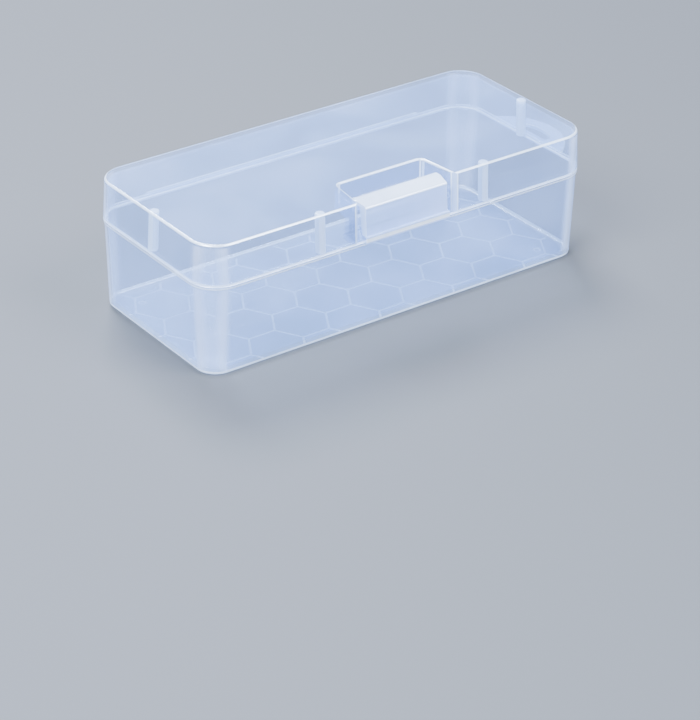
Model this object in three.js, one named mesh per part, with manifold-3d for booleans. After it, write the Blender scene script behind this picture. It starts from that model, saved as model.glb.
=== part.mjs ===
// Clip-lid storage box, moulded in one shot from natural polypropylene.
// Millimetres, +Z up. The long side runs along X, the latch faces -Y and the hang loop faces +X.
// The tub, the lid and the latch flap are stiff. Two thin films join them and bend as hinges.

import * as THREE from 'three';
import Module from 'manifold-3d';

// Overall box, measured at the seam between tub and lid
const boxLength = 180;
const boxWidth = 78.4;
const tubHeight = 37;
const lidHeight = 16.1;
const seamGap = 0.3;
const rimCornerRadius = 11.9;
const floorCornerRadius = 8.2;

// Wall sections and the lean that lets each half leave its mould
const wall = 1.2;
const floorThickness = 1.5;
const lidPlate = 1.4;
const tubDraft = 1.65;
const lidDraft = 0.88;

// Rounded edges
const tubEdgeRadius = 0.8;
const tubInnerEdgeRadius = 1.2;
const lidEdgeRadius = 1;
const lidInnerEdgeRadius = 0.6;

// Bead round the tub's rim
const beadHeight = 1.2;
const beadStep = 0.3;

// Round pillars inside the lid's skirt
const pillarRadius = 1.95;
const pillarInset = 2.5;
const pillarSpacing = 76.4;

// Pocket in the lid's front edge, where a fingertip reaches behind the latch flap
const pocketBackWidth = 39.8;
const pocketFrontWidth = 44.6;
const pocketDepth = 18.5;
const pocketDrop = 8;
const pocketCornerRadius = 2;
const pocketEdgeRadius = 0.6;
const mouthRadius = 2;
const mouthInnerRadius = 0.8;
const ledgeDepth = 8.25;
const catchHeight = 2.1;

// Shelf on the tub's rim that closes the box under the pocket
const shelfThickness = 1.2;
const shelfLap = 0.8;

// Latch flap
const flapWidth = 38;
const flapThickness = 1.2;
const flapLift = 1.3;
const flapTopDrop = 1.9;
const lipFall = 0.8;
const lipThickness = 1.3;
const lipClearance = 0.35;
const hookDrop = 4.8;
const hookThickness = 1.1;
const flapBendRadius = 1.6;
const lipEdgeRadius = 0.5;
const flapInnerRadius = 0.7;
const lipCornerRadius = 3;
const faceCornerRadius = 2.6;
const gussetThickness = 1;
const gussetBottomDepth = 3;
const gussetTopDepth = 5;

// Living hinges: thin films outside the seam
const filmThickness = 0.6;
const filmGap = 0.3;
const filmLap = 0.8;
const filmEdgeRadius = 0.2;
const lidFilmWidth = 130;
const latchFilmWidth = 39;

// Hang loop on the right end: a flat tab with a slot
const loopRadius = 23;
const loopReach = 13.6;
const loopThickness = 1.5;
const slotRimWidth = 5.2;
const slotGap = 3;
const slotWidth = 17;
const slotCornerRadius = 1.2;

// Honeycomb of fine ridges under the floor, and four small feet
const hexagonSide = 11.85;
const ridgeWidth = 0.9;
const ridgeHeight = 0.25;
const honeycombInset = 2.2;
const footRadius = 1.8;
const footHeight = 0.5;
const footEndInset = 13.5;
const footSideInset = 13;

// Cuts run past the faces they open by the overrun, and joined solids bite by the fuse
const overrun = 2;
const fuse = 0.02;

// Segments of the curves
const cornerSteps = 10;
const filletSteps = 5;
const edgeSteps = 4;
const roundSteps = 24;
const loopSteps = 64;
const hexagonSides = 6;

// Heights and planes worked out from the sizes above
const beadBottom = tubHeight - beadHeight;
const lidBottom = tubHeight + seamGap;
const lidTop = lidBottom + lidHeight;
const pocketFloor = lidTop - pocketDrop;
const frontPlane = -boxWidth / 2;
const pocketBack = frontPlane + pocketDepth;
const ledgeFace = frontPlane + ledgeDepth;
const endPlane = boxLength / 2;
const flapBottom = tubHeight + flapLift;
const loopCentre = endPlane + loopReach - loopRadius;

// Library that joins and cuts closed meshes
const wasm = await Module();
wasm.setup();

/** Places an outline's u, v and its level w as x, y, z: a solid that rises along Z. */
const upright = (u, v, w) => [u, v, w];

/** A side outline in Y and Z, swept along X. */
const alongX = (u, v, w) => [w, u, v];

/** A front outline in Z and X, swept along Y. */
const alongY = (u, v, w) => [v, w, u];

/** Evenly spaced angles of a quarter turn, both ends included. */
function quarterTurn(steps) {
  return Array.from({ length: steps + 1 }, (_, index) => (index / steps) * (Math.PI / 2));
}

/** Closed outline with arcs at its corners, from [x, y, radius] listed counterclockwise. */
function roundedOutline(corners, steps = filletSteps) {
  const points = corners.map(([x, y]) => new THREE.Vector2(x, y));
  const origin = new THREE.Vector2();
  return corners.flatMap(([, , radius], index) => {
    const corner = points[index];
    if (!radius) {
      return [corner];
    }
    const toBefore = points.at(index - 1).clone().sub(corner).normalize();
    const toAfter = points[(index + 1) % points.length].clone().sub(corner).normalize();
    const halfAngle = Math.acos(toBefore.dot(toAfter)) / 2;
    const middle = toBefore.clone().add(toAfter).setLength(radius / Math.sin(halfAngle));
    const tangent = radius / Math.tan(halfAngle);
    const start = toBefore.multiplyScalar(tangent).sub(middle);
    const end = toAfter.multiplyScalar(tangent).sub(middle);
    const sweep = Math.atan2(start.cross(end), start.dot(end));
    return Array.from({ length: steps + 1 }, (_, step) =>
      start.clone().rotateAround(origin, (sweep * step) / steps).add(middle).add(corner));
  });
}

/** Circle about [x, y]. */
function circleOutline(x, y, radius, steps = roundSteps) {
  return Array.from({ length: steps }, (_, index) => {
    const angle = (index / steps) * Math.PI * 2;
    return new THREE.Vector2(x + radius * Math.cos(angle), y + radius * Math.sin(angle));
  });
}

/** Triangles that fill an outline, all counterclockwise. */
function fillOutline(outline) {
  return THREE.ShapeUtils.triangulateShape(outline, []).map(([a, b, c]) => {
    const turn = outline[b].clone().sub(outline[a]).cross(outline[c].clone().sub(outline[a]));
    return turn > 0 ? [a, b, c] : [a, c, b];
  });
}

/** Solid through rings of equal point counts, each ring { outline, level }. */
function loft(rings, place = upright) {
  const count = rings[0].outline.length;
  const positions = rings.flatMap(({ outline, level }) =>
    outline.flatMap((point) => place(point.x, point.y, level)));
  const triangles = [];
  for (const [a, b, c] of fillOutline(rings[0].outline)) {
    triangles.push(c, b, a);
  }
  for (let ring = 0; ring < rings.length - 1; ring += 1) {
    for (let index = 0; index < count; index += 1) {
      const next = (index + 1) % count;
      const low = ring * count;
      const high = low + count;
      triangles.push(low + index, low + next, high + next);
      triangles.push(low + index, high + next, high + index);
    }
  }
  const top = (rings.length - 1) * count;
  for (const [a, b, c] of fillOutline(rings.at(-1).outline)) {
    triangles.push(top + a, top + b, top + c);
  }
  return new wasm.Manifold(new wasm.Mesh({
    numProp: 3,
    vertProperties: new Float32Array(positions),
    triVerts: new Uint32Array(triangles),
  }));
}

/** Solid of one outline between two levels. */
function prism(outline, low, high, place = upright) {
  return loft([{ outline, level: low }, { outline, level: high }], place);
}

/** Upright bar of round section. */
function roundBar(x, y, radius, low, high) {
  return prism(circleOutline(x, y, radius), low, high);
}

/** Rounded rectangle of the box's plan, drawn in from the seam's outline. */
function planOutline(inset, radius) {
  const halfLength = boxLength / 2 - inset;
  const halfWidth = boxWidth / 2 - inset;
  return roundedOutline([
    [-halfLength, -halfWidth, radius],
    [halfLength, -halfWidth, radius],
    [halfLength, halfWidth, radius],
    [-halfLength, halfWidth, radius],
  ], cornerSteps);
}

/** How far the tub's outer wall stands in from the seam's outline at a height. */
function tubInset(z) {
  return beadStep + tubDraft * (1 - z / beadBottom);
}

/** Corner radius of the tub's outer wall at a height. */
function tubRadius(z) {
  return THREE.MathUtils.lerp(floorCornerRadius, rimCornerRadius, z / tubHeight);
}

/** Ring of the tub at a height, moved in from its outer wall. */
function tubRing(level, inset) {
  return { outline: planOutline(tubInset(level) + inset, tubRadius(level) - inset), level };
}

/** Ring of the tub's rim bead, flush with the seam's outline. */
function beadRing(level) {
  return { outline: planOutline(0, rimCornerRadius), level };
}

/** Outside of the tub, filled: rounded floor edge, leaning wall and rim bead. */
function tubOutside() {
  const floorEdge = quarterTurn(edgeSteps).map((angle) =>
    tubRing(tubEdgeRadius * (1 - Math.cos(angle)), tubEdgeRadius * (1 - Math.sin(angle))));
  return loft([
    ...floorEdge,
    tubRing(beadBottom - beadStep, 0),
    beadRing(beadBottom),
    beadRing(tubHeight),
  ]);
}

/** Space inside the tub, open past the rim. */
function tubInside() {
  const floorEdge = quarterTurn(edgeSteps).map((angle) =>
    tubRing(floorThickness + tubInnerEdgeRadius * (1 - Math.cos(angle)),
      wall + tubInnerEdgeRadius * (1 - Math.sin(angle))));
  return loft([...floorEdge, tubRing(tubHeight + overrun, wall)]);
}

/** How far the lid's outer wall stands in from the seam's outline at a height. */
function lidInset(z) {
  return (lidDraft * (z - lidBottom)) / lidHeight;
}

/** Ring of the lid at a height, moved in from its outer wall. */
function lidRing(level, inset) {
  const total = lidInset(level) + inset;
  return { outline: planOutline(total, rimCornerRadius - total), level };
}

/** Outside of the lid, filled: leaning skirt and rounded top edge. */
function lidOutside() {
  const topEdge = quarterTurn(edgeSteps).map((angle) =>
    lidRing(lidTop - lidEdgeRadius * (1 - Math.sin(angle)), lidEdgeRadius * (1 - Math.cos(angle))));
  return loft([lidRing(lidBottom, 0), ...topEdge]);
}

/** Space inside the lid, open past its lower edge. */
function lidInside() {
  const ceiling = lidTop - lidPlate;
  const topEdge = quarterTurn(edgeSteps).map((angle) =>
    lidRing(ceiling - lidInnerEdgeRadius * (1 - Math.sin(angle)),
      wall + lidInnerEdgeRadius * (1 - Math.cos(angle))));
  return loft([lidRing(lidBottom - overrun, wall), ...topEdge]);
}

/** Half the pocket's width at a distance behind the front, its sides moved out by grow. */
function pocketHalfWidth(y, grow) {
  const flare = (pocketFrontWidth - pocketBackWidth) / 2 / pocketDepth;
  return pocketBackWidth / 2 + (pocketBack - y) * flare + grow * Math.hypot(1, flare);
}

/** Ring of the pocket, open to the front. Its sides turn into the front wall by the mouth radius. */
function pocketRing({ level, back, grow, frontInset, mouth }) {
  const rear = back + grow;
  const front = frontPlane + lidInset(level) + frontInset - fuse;
  const rearHalf = pocketHalfWidth(rear, grow);
  const frontHalf = pocketHalfWidth(front, grow);
  const corner = pocketCornerRadius + grow;
  const outline = roundedOutline([
    [-endPlane, frontPlane - boxWidth, 0],
    [endPlane, frontPlane - boxWidth, 0],
    [endPlane, front, 0],
    [frontHalf, front, mouth],
    [rearHalf, rear, corner],
    [-rearHalf, rear, corner],
    [-frontHalf, front, mouth],
    [-endPlane, front, 0],
  ]);
  return { outline, level };
}

/** Space cut out of the lid: the pocket, and the slot in front of it down to the seam. */
function pocketSpace() {
  const shape = { back: pocketBack, frontInset: 0, mouth: mouthRadius };
  const floorEdge = quarterTurn(edgeSteps).map((angle) => pocketRing({
    ...shape,
    level: pocketFloor + pocketEdgeRadius * (1 - Math.cos(angle)),
    grow: -pocketEdgeRadius * (1 - Math.sin(angle)),
  }));
  const topEdge = quarterTurn(edgeSteps).map((angle) => pocketRing({
    ...shape,
    level: lidTop - pocketEdgeRadius * (1 - Math.sin(angle)),
    grow: pocketEdgeRadius * (1 - Math.cos(angle)),
  }));
  const above = pocketRing({ ...shape, level: lidTop + overrun, grow: pocketEdgeRadius });
  const slot = [lidBottom - overrun, lidTop + overrun].map((level) =>
    pocketRing({ ...shape, level, back: ledgeFace, grow: 0 }));
  return loft([...floorEdge, ...topEdge, above]).add(loft(slot));
}

/** The same space grown by the wall, which leaves the pocket's floor and walls round it. */
function pocketCasing() {
  const shape = { grow: wall, frontInset: wall, mouth: mouthInnerRadius };
  const pocket = [pocketFloor - wall, lidTop + overrun].map((level) =>
    pocketRing({ ...shape, level, back: pocketBack }));
  const slot = [lidBottom - overrun, lidTop + overrun].map((level) =>
    pocketRing({ ...shape, level, back: ledgeFace }));
  return loft(pocket).add(loft(slot));
}

/** Low bead along the front of the pocket's floor, which the flap's hook stands in front of. */
function catchBead() {
  const frontHalf = pocketHalfWidth(ledgeFace, fuse);
  const backHalf = pocketHalfWidth(ledgeFace + wall, fuse);
  const edge = pocketEdgeRadius / 2;
  const outline = [
    new THREE.Vector2(-frontHalf, ledgeFace),
    new THREE.Vector2(frontHalf, ledgeFace),
    new THREE.Vector2(backHalf, ledgeFace + wall),
    new THREE.Vector2(-backHalf, ledgeFace + wall),
  ];
  const section = roundedOutline([
    [ledgeFace, pocketFloor - wall / 2, 0],
    [ledgeFace + wall, pocketFloor - wall / 2, 0],
    [ledgeFace + wall, pocketFloor + catchHeight, edge],
    [ledgeFace, pocketFloor + catchHeight, edge],
  ]);
  return prism(outline, pocketFloor - wall, lidTop)
    .intersect(prism(section, -pocketFrontWidth, pocketFrontWidth, alongX));
}

/** The four pillars inside the skirt: two in front and one at each end. */
function lidPillars() {
  const frontY = frontPlane + pillarInset;
  const endX = endPlane - pillarInset;
  const places = [[-pillarSpacing / 2, frontY], [pillarSpacing / 2, frontY], [-endX, 0], [endX, 0]];
  return places
    .map(([x, y]) => roundBar(x, y, pillarRadius, lidBottom, lidTop - lidPlate / 2))
    .reduce((all, pillar) => all.add(pillar));
}

/** Lid: skirt, top plate, pillars and the recessed pocket for the latch. */
function lid() {
  const outside = lidOutside();
  return outside
    .subtract(lidInside())
    .add(lidPillars().intersect(outside))
    .add(pocketCasing().intersect(outside))
    .subtract(pocketSpace())
    .add(catchBead());
}

/** Shelf at the rim under the lid's pocket. */
function latchShelf() {
  const shape = { back: ledgeFace, grow: wall + shelfLap, frontInset: wall, mouth: 0 };
  const [low, high] = [tubHeight - shelfThickness, tubHeight].map((level) => ({
    ...pocketRing({ ...shape, level: lidBottom }),
    level,
  }));
  return loft([low, high]);
}

/** Hang loop: a round-ended tab level with the rim, with a D-shaped slot. */
function hangLoop() {
  const underside = tubHeight - loopThickness;
  const tab = prism(circleOutline(loopCentre, 0, loopRadius, loopSteps), underside, tubHeight);
  const outside = prism(roundedOutline([
    [endPlane - wall, -loopRadius, 0],
    [endPlane + loopRadius, -loopRadius, 0],
    [endPlane + loopRadius, loopRadius, 0],
    [endPlane - wall, loopRadius, 0],
  ]), 0, lidTop);
  const slotStart = endPlane + slotGap;
  const slotArc = loopRadius - slotRimWidth;
  const slotEnd = loopCentre + slotArc;
  const slotBlock = prism(roundedOutline([
    [slotStart, -slotWidth / 2, slotCornerRadius],
    [slotEnd, -slotWidth / 2, slotCornerRadius],
    [slotEnd, slotWidth / 2, slotCornerRadius],
    [slotStart, slotWidth / 2, slotCornerRadius],
  ]), 0, lidTop);
  const slotRound = prism(circleOutline(loopCentre, 0, slotArc, loopSteps), 0, lidTop);
  return tab.intersect(outside).subtract(slotBlock.intersect(slotRound));
}

/** Hexagon with two sides along X. */
function hexagonOutline(x, y, side) {
  return circleOutline(x, y, side, hexagonSides);
}

/** Honeycomb ridges under the floor: a thin field with each cell cut out. */
function honeycomb() {
  const inset = tubInset(0) + honeycombInset;
  const field = prism(planOutline(inset, floorCornerRadius - honeycombInset), -ridgeHeight, fuse);
  const columnPitch = hexagonSide * Math.cos(Math.PI / 3) + hexagonSide;
  const rowPitch = 2 * hexagonSide * Math.sin(Math.PI / 3);
  const cellSide = hexagonSide - ridgeWidth / 2 / Math.sin(Math.PI / 3);
  const columns = Math.ceil(boxLength / 2 / columnPitch);
  const rows = Math.ceil(boxWidth / 2 / rowPitch);
  let ridges = field;
  for (let column = -columns; column <= columns; column += 1) {
    const shift = column % 2 === 0 ? 0 : rowPitch / 2;
    for (let row = -rows; row <= rows; row += 1) {
      const outline = hexagonOutline(column * columnPitch, row * rowPitch + shift, cellSide);
      ridges = ridges.subtract(prism(outline, -overrun, overrun));
    }
  }
  return ridges;
}

/** Four small feet near the corners of the floor. */
function feet() {
  const x = endPlane - footEndInset;
  const y = boxWidth / 2 - footSideInset;
  return [[-x, -y], [x, -y], [x, y], [-x, y]]
    .map(([footX, footY]) => roundBar(footX, footY, footRadius, -footHeight, floorThickness / 2))
    .reduce((all, foot) => all.add(foot));
}

/** Tub: walls, floor, rim bead, latch shelf, hang loop, honeycomb ridges and feet. */
function tub() {
  const outside = tubOutside();
  return outside
    .subtract(tubInside())
    .add(latchShelf().intersect(outside))
    .add(hangLoop())
    .add(honeycomb())
    .add(feet());
}

/** Side outline of the flap: face plate, bend, lip and the hook that hangs from the lip's end. */
function flapSection() {
  const lean = lidInset(lidTop);
  const faceBottom = frontPlane;
  const faceTop = frontPlane + lean;
  const lipEnd = ledgeFace - lipClearance;
  const top = lidTop - flapTopDrop;
  const frontTop = top - lipFall;
  return roundedOutline([
    [faceBottom, flapBottom, lipEdgeRadius],
    [faceBottom + flapThickness, flapBottom, lipEdgeRadius],
    [faceTop + flapThickness, frontTop - lipThickness, flapInnerRadius],
    [lipEnd - hookThickness, top - lipThickness, flapInnerRadius],
    [lipEnd - hookThickness, top - hookDrop, lipEdgeRadius],
    [lipEnd, top - hookDrop, lipEdgeRadius],
    [lipEnd, top, lipEdgeRadius],
    [faceTop, frontTop, flapBendRadius],
  ]);
}

/** Side outline of a gusset, which stiffens the flap between face and lip. */
function gussetSection() {
  const back = frontPlane + flapThickness / 2;
  const top = lidTop - flapTopDrop - lipFall - lipThickness / 2;
  return [
    new THREE.Vector2(back, flapBottom + lipEdgeRadius),
    new THREE.Vector2(frontPlane + gussetBottomDepth, flapBottom + lipEdgeRadius),
    new THREE.Vector2(frontPlane + gussetTopDepth, top),
    new THREE.Vector2(back + lidDraft, top),
  ];
}

/** Latch flap, its lip rounded in plan and its face rounded at the upper corners. */
function latchFlap() {
  const half = flapWidth / 2;
  const lipEnd = ledgeFace - lipClearance;
  const plan = prism(roundedOutline([
    [-half, frontPlane - overrun, 0],
    [half, frontPlane - overrun, 0],
    [half, lipEnd, lipCornerRadius],
    [-half, lipEnd, lipCornerRadius],
  ]), 0, lidTop);
  const face = prism(roundedOutline([
    [0, -half, 0],
    [lidTop - flapTopDrop, -half, faceCornerRadius],
    [lidTop - flapTopDrop, half, faceCornerRadius],
    [0, half, 0],
  ]), frontPlane - overrun, 0, alongY);
  const sides = [[-half, gussetThickness - half], [half - gussetThickness, half]];
  return sides
    .map(([low, high]) => prism(gussetSection(), low, high, alongX))
    .reduce((all, gusset) => all.add(gusset), prism(flapSection(), -half, half, alongX))
    .intersect(plan)
    .intersect(face);
}

/** Strip of film outside the seam, from the tub's bead up over the edge it carries. */
function hingeFilm(width, top, side) {
  const near = side * (boxWidth / 2 + filmGap);
  const far = near + side * filmThickness;
  const [low, high] = [Math.min(near, far), Math.max(near, far)];
  return prism(roundedOutline([
    [low, tubHeight - filmLap, filmEdgeRadius],
    [high, tubHeight - filmLap, filmEdgeRadius],
    [high, top + filmLap, filmEdgeRadius],
    [low, top + filmLap, filmEdgeRadius],
  ]), -width / 2, width / 2, alongX);
}

/** Natural polypropylene: milky, slightly blue, smooth from a polished mould. */
function naturalPlastic(colour, opacity) {
  return new THREE.MeshStandardMaterial({
    color: colour,
    roughness: 0.25,
    metalness: 0,
    transparent: true,
    opacity,
  });
}

/** Named mesh of one solid. */
function namedPart(name, solid, material) {
  const { vertProperties, triVerts } = solid.getMesh();
  const geometry = new THREE.BufferGeometry();
  geometry.setAttribute('position', new THREE.BufferAttribute(vertProperties, 3));
  geometry.setIndex(new THREE.BufferAttribute(triVerts, 1));
  const mesh = new THREE.Mesh(geometry, material);
  mesh.name = name;
  return mesh;
}

// The origin lies on the surface that the feet stand on, under the middle of the whole length
const storageBox = new THREE.Group();
storageBox.position.set(-loopReach / 2, 0, footHeight);
storageBox.add(
  namedPart('base_tub', tub(), naturalPlastic('#c9d8ee', 0.45)),
  namedPart('lid', lid(), naturalPlastic('#cfdcf0', 0.4)),
  namedPart('latch_flap', latchFlap(), naturalPlastic('#dfe9f9', 0.6)),
  namedPart('lid_hinge_web', hingeFilm(lidFilmWidth, lidBottom, 1), naturalPlastic('#e6effc', 0.6)),
  namedPart('latch_hinge_web', hingeFilm(latchFilmWidth, flapBottom, -1), naturalPlastic('#eef4fd', 0.7)),
);

export default storageBox;
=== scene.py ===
"""Clip-lid storage box of natural polypropylene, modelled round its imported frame."""

import math

import bmesh
import bpy
from mathutils import Matrix, Vector


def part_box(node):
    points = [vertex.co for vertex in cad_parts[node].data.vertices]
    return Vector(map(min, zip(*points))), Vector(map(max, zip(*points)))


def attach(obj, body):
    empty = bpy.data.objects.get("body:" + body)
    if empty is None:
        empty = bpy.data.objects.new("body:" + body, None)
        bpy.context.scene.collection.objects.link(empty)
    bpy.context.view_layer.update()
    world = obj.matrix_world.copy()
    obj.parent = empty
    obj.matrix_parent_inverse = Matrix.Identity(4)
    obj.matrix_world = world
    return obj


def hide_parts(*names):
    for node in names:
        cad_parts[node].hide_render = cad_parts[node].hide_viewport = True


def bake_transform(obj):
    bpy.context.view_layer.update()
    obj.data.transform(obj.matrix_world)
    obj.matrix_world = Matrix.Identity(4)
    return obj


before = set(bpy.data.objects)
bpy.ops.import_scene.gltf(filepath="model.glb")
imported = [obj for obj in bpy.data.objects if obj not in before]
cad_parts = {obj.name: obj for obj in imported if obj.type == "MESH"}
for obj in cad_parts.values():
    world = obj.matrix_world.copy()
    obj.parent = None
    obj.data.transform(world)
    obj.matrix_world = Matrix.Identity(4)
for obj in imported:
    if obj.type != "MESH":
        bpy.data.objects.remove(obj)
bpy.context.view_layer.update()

# One millimetre in metres, and how near a point has to be to count as at a place
MM = 0.001
NEAR = 0.002 * MM

# The frame's own box of the lid gives the middle and half sizes of the box's plan
LID_LOW, LID_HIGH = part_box("lid")
MIDDLE_X = (LID_LOW.x + LID_HIGH.x) / 2
HALF_LENGTH = (LID_HIGH.x - LID_LOW.x) / 2
HALF_WIDTH = (LID_HIGH.y - LID_LOW.y) / 2

# Walls of the tub and the lid. Heights count from the floor's underside, which the feet lift
FOOT_HEIGHT = 0.5 * MM
TUB_HEIGHT = 37 * MM
LID_BOTTOM = 37.3 * MM
LID_TOP = 53.4 * MM
WALL = 1.2 * MM
FLOOR_THICKNESS = 1.5 * MM
LID_PLATE = 1.4 * MM
TUB_LEAN = 1.65 * MM
LID_LEAN = 0.88 * MM
RIM_RADIUS = 11.9 * MM
FLOOR_RADIUS = 8.2 * MM
BEAD_BOTTOM = 35.8 * MM
BEAD_STEP = 0.3 * MM

# Rounded edges
FLOOR_EDGE = 0.8 * MM
FLOOR_INNER_EDGE = 1.2 * MM
LID_EDGE = 1.0 * MM
LID_INNER_EDGE = 0.6 * MM
RIM_EDGE = 0.25 * MM
SMALL_EDGE = 0.3 * MM

# Narrow bands of wall painted whiter as highlight lines: over the floor's edge, on the bead and
# over the seam
FLOOR_HIGHLIGHT_BAND = 0.5 * MM
BEAD_HIGHLIGHT_BAND = 0.5 * MM
SEAM_HIGHLIGHT_BAND = 0.4 * MM

# Pillars inside the lid's skirt
PILLAR_RADIUS = 1.95 * MM
PILLAR_INSET = 2.5 * MM
PILLAR_SPACING = 76.4 * MM
PILLAR_CAP = 0.3 * MM
PILLAR_ROUND = 0.6 * MM

# Pocket in the lid, behind the latch flap
POCKET_BACK_HALF = 19.9 * MM
POCKET_FRONT_HALF = 22.3 * MM
POCKET_DEPTH = 18.5 * MM
POCKET_FLOOR = 45.4 * MM
POCKET_CORNER = 2.0 * MM
POCKET_EDGE = 0.7 * MM
MOUTH_RADIUS = 2.0 * MM
LEDGE_DEPTH = 8.25 * MM
CATCH_HEIGHT = 2.1 * MM
CASING_FRONT = 1.0 * MM

# Shelf on the tub's rim under the pocket
SHELF_LAP = 2.0 * MM
SHELF_CORNER = 1.5 * MM

# Latch flap
FLAP_HALF = 19.0 * MM
FLAP_BOTTOM = 38.3 * MM
FLAP_TOP = 51.5 * MM
FLAP_THICKNESS = 1.2 * MM
FLAP_BEND = 2.8 * MM
FLAP_INNER_BEND = 1.5 * MM
FACE_CORNER = 1.0 * MM
LIP_FALL = 0.8 * MM
LIP_THICKNESS = 1.3 * MM
LIP_CLEARANCE = 0.35 * MM
LIP_OVERHANG = 0.8 * MM
LIP_FLARE = 1.2 * MM
LIP_CORNER = 0.9 * MM
HOOK_DROP = 4.8 * MM
HOOK_THICKNESS = 1.1 * MM
GUSSET_THICKNESS = 1.0 * MM
GUSSET_BOTTOM_DEPTH = 3.0 * MM
GUSSET_TOP_DEPTH = 5.0 * MM

# Films of the two living hinges. The waist is the share of the thickness that their middle lacks
FILM_THICKNESS = 0.6 * MM
FILM_GAP = 0.3 * MM
FILM_LAP = 0.8 * MM
FILM_EDGE = 0.2 * MM
FILM_WAIST = 0.45
LID_FILM_HALF = 65 * MM
LATCH_FILM_HALF = 19.5 * MM
LATCH_FILM_FOLD = 0.7 * MM

# Hang loop
LOOP_RADIUS = 23.0 * MM
LOOP_REACH = 13.6 * MM
LOOP_THICKNESS = 1.5 * MM
SLOT_RIM = 5.2 * MM
SLOT_GAP = 3.0 * MM
SLOT_HALF = 8.5 * MM
SLOT_CORNER = 1.2 * MM

# Honeycomb ridges and feet under the floor
HEXAGON_SIDE = 11.85 * MM
RIDGE_WIDTH = 0.9 * MM
RIDGE_HEIGHT = 0.25 * MM
HONEYCOMB_INSET = 2.2 * MM
FOOT_RADIUS = 1.8 * MM
FOOT_RING = 0.6 * MM
FOOT_HOLLOW = 0.15 * MM
FOOT_END_INSET = 13.5 * MM
FOOT_SIDE_INSET = 13.0 * MM

# Cuts run past the faces that they open, and joined solids bite by the fuse
OVERRUN = 2 * MM
FUSE = 0.02 * MM

# Segments of the curves, from the plan's corners to the finest edges
CORNER_STEPS = 12
BEND_STEPS = 7
EDGE_STEPS = 5
SMALL_STEPS = 3
FINE_STEPS = 2
FILM_STEPS = 8
ROUND_STEPS = 48
LOOP_STEPS = 128

# Edges turn sharply past this angle, in radians, and are shaded sharp past this one, in degrees
SHARP = 1
SMOOTH_ANGLE = 32

# Places that the measures above lead to
FRONT_Y = -HALF_WIDTH
LEDGE_Y = FRONT_Y + LEDGE_DEPTH
POCKET_BACK_Y = FRONT_Y + POCKET_DEPTH
END_X = MIDDLE_X + HALF_LENGTH
LOOP_X = END_X + LOOP_REACH - LOOP_RADIUS
RIM_Z = FOOT_HEIGHT + TUB_HEIGHT
SEAM_Z = FOOT_HEIGHT + LID_BOTTOM
POCKET_Z = FOOT_HEIGHT + POCKET_FLOOR
TOP_Z = FOOT_HEIGHT + LID_TOP
PILLAR_PLACES = [(-PILLAR_SPACING / 2, PILLAR_INSET - HALF_WIDTH),
                 (PILLAR_SPACING / 2, PILLAR_INSET - HALF_WIDTH),
                 (PILLAR_INSET - HALF_LENGTH, 0), (HALF_LENGTH - PILLAR_INSET, 0)]

# A quarter round in steps, as shares of its radius: how far it has gone, and how far it has left
QUARTER_ROUND = [(1 - math.cos(step / EDGE_STEPS * math.pi / 2),
                  1 - math.sin(step / EDGE_STEPS * math.pi / 2)) for step in range(EDGE_STEPS + 1)]

# Camera of the photograph, solved from the box's edges: degrees, and pixels of 700 by 720
IMAGE_WIDTH = 700
IMAGE_HEIGHT = 720
SENSOR_WIDTH = 36
CAMERA_AZIMUTH = -126.951
CAMERA_ELEVATION = 29.959
CAMERA_ROLL = 1.0805
CAMERA_DISTANCE = 996.2 * MM
FOCAL_PIXELS = 2583.8
TARGET_HEIGHT = 30.5 * MM
TARGET_PIXEL = (345.13, 206.44)

# Studio: the floor's colour is set for these lights, under which it comes out as a pale grey
STAGE_SIZE = 6
STAGE_COLOUR = "#4a4a4b"
STAGE_ROUGHNESS = 0.7
SKY_COLOUR = "#d8e4f6"
SKY_STRENGTH = 0.55
LIGHT_COLOUR = "#dce9ff"
LIGHT_AIM = (MIDDLE_X, 0, 30 * MM)
# Name, place and size in metres, and watts. From the usual sides the lid mirrors none of them
LIGHTS = [("left_light", (-1.0, -0.25, 1.1), 0.8, 110),
          ("right_light", (0.5, -0.95, 1.15), 0.8, 82),
          ("back_light", (0.3, 1.1, 1.35), 0.7, 118)]

# Natural polypropylene: its index of refraction, and how rough its milky body looks
PLASTIC_IOR = 1.49
PLASTIC_ROUGHNESS = 0.35
CLEAR_COLOUR = "#f7fbff"
# White that the flow marks mix in, and the painted corner highlight bands too
WHITENED_AND_HIGHLIGHT_COLOUR = "#e8f0ff"
MIRROR_COLOUR = "#ffffff"
# The mirrored share rises to this at a slant, with the power that Schlick's rule gives
MIRROR_GRAZING = 0.9
MIRROR_POWER = 5
# Flow marks of the melt, about 40 mm apart as on real boxes of this size. Between these levels of
# the noise they thin or thicken the milk by these factors, and whiten it by up to this share
FLOW_PITCH = 40 * MM
FLOW_DETAIL = 3
FLOW_ROUGHNESS = 0.5
FLOW_DISTORTION = 0.6
FLOW_LOW, FLOW_HIGH = 0.35, 0.65
FLOW_THIN, FLOW_THICK = 0.8, 1.25
FLOW_WHITE_LOW, FLOW_WHITE = 0.45, 0.2
# Waves of a thin wall that shrank unevenly in the mould, about 9 mm apart and 0.02 mm high
RIPPLE_PITCH = 9 * MM
RIPPLE_HEIGHT = 0.02 * MM
RIPPLE_STRENGTH = 0.5
# Painted highlight bands in the upright corners: where they fade out, what brings their peaks to 1,
# and how white
HIGHLIGHT_BAND_MIDDLE = 0.52
HIGHLIGHT_BAND_GAIN = 14.3
HIGHLIGHT_BAND_SOFTNESS = 2
HIGHLIGHT_BAND_WHITE = 0.8

# Faces are told apart by the upright part of their normals: a face is flat over FLAT, nearly so
# over LEVEL, slants under SLANTING, is a wall under UPRIGHT, and looks up a little over RISING
FLAT = 0.995
LEVEL = 0.97
SLANTING = 0.9
UPRIGHT = 0.5
RISING = 0.25
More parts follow.
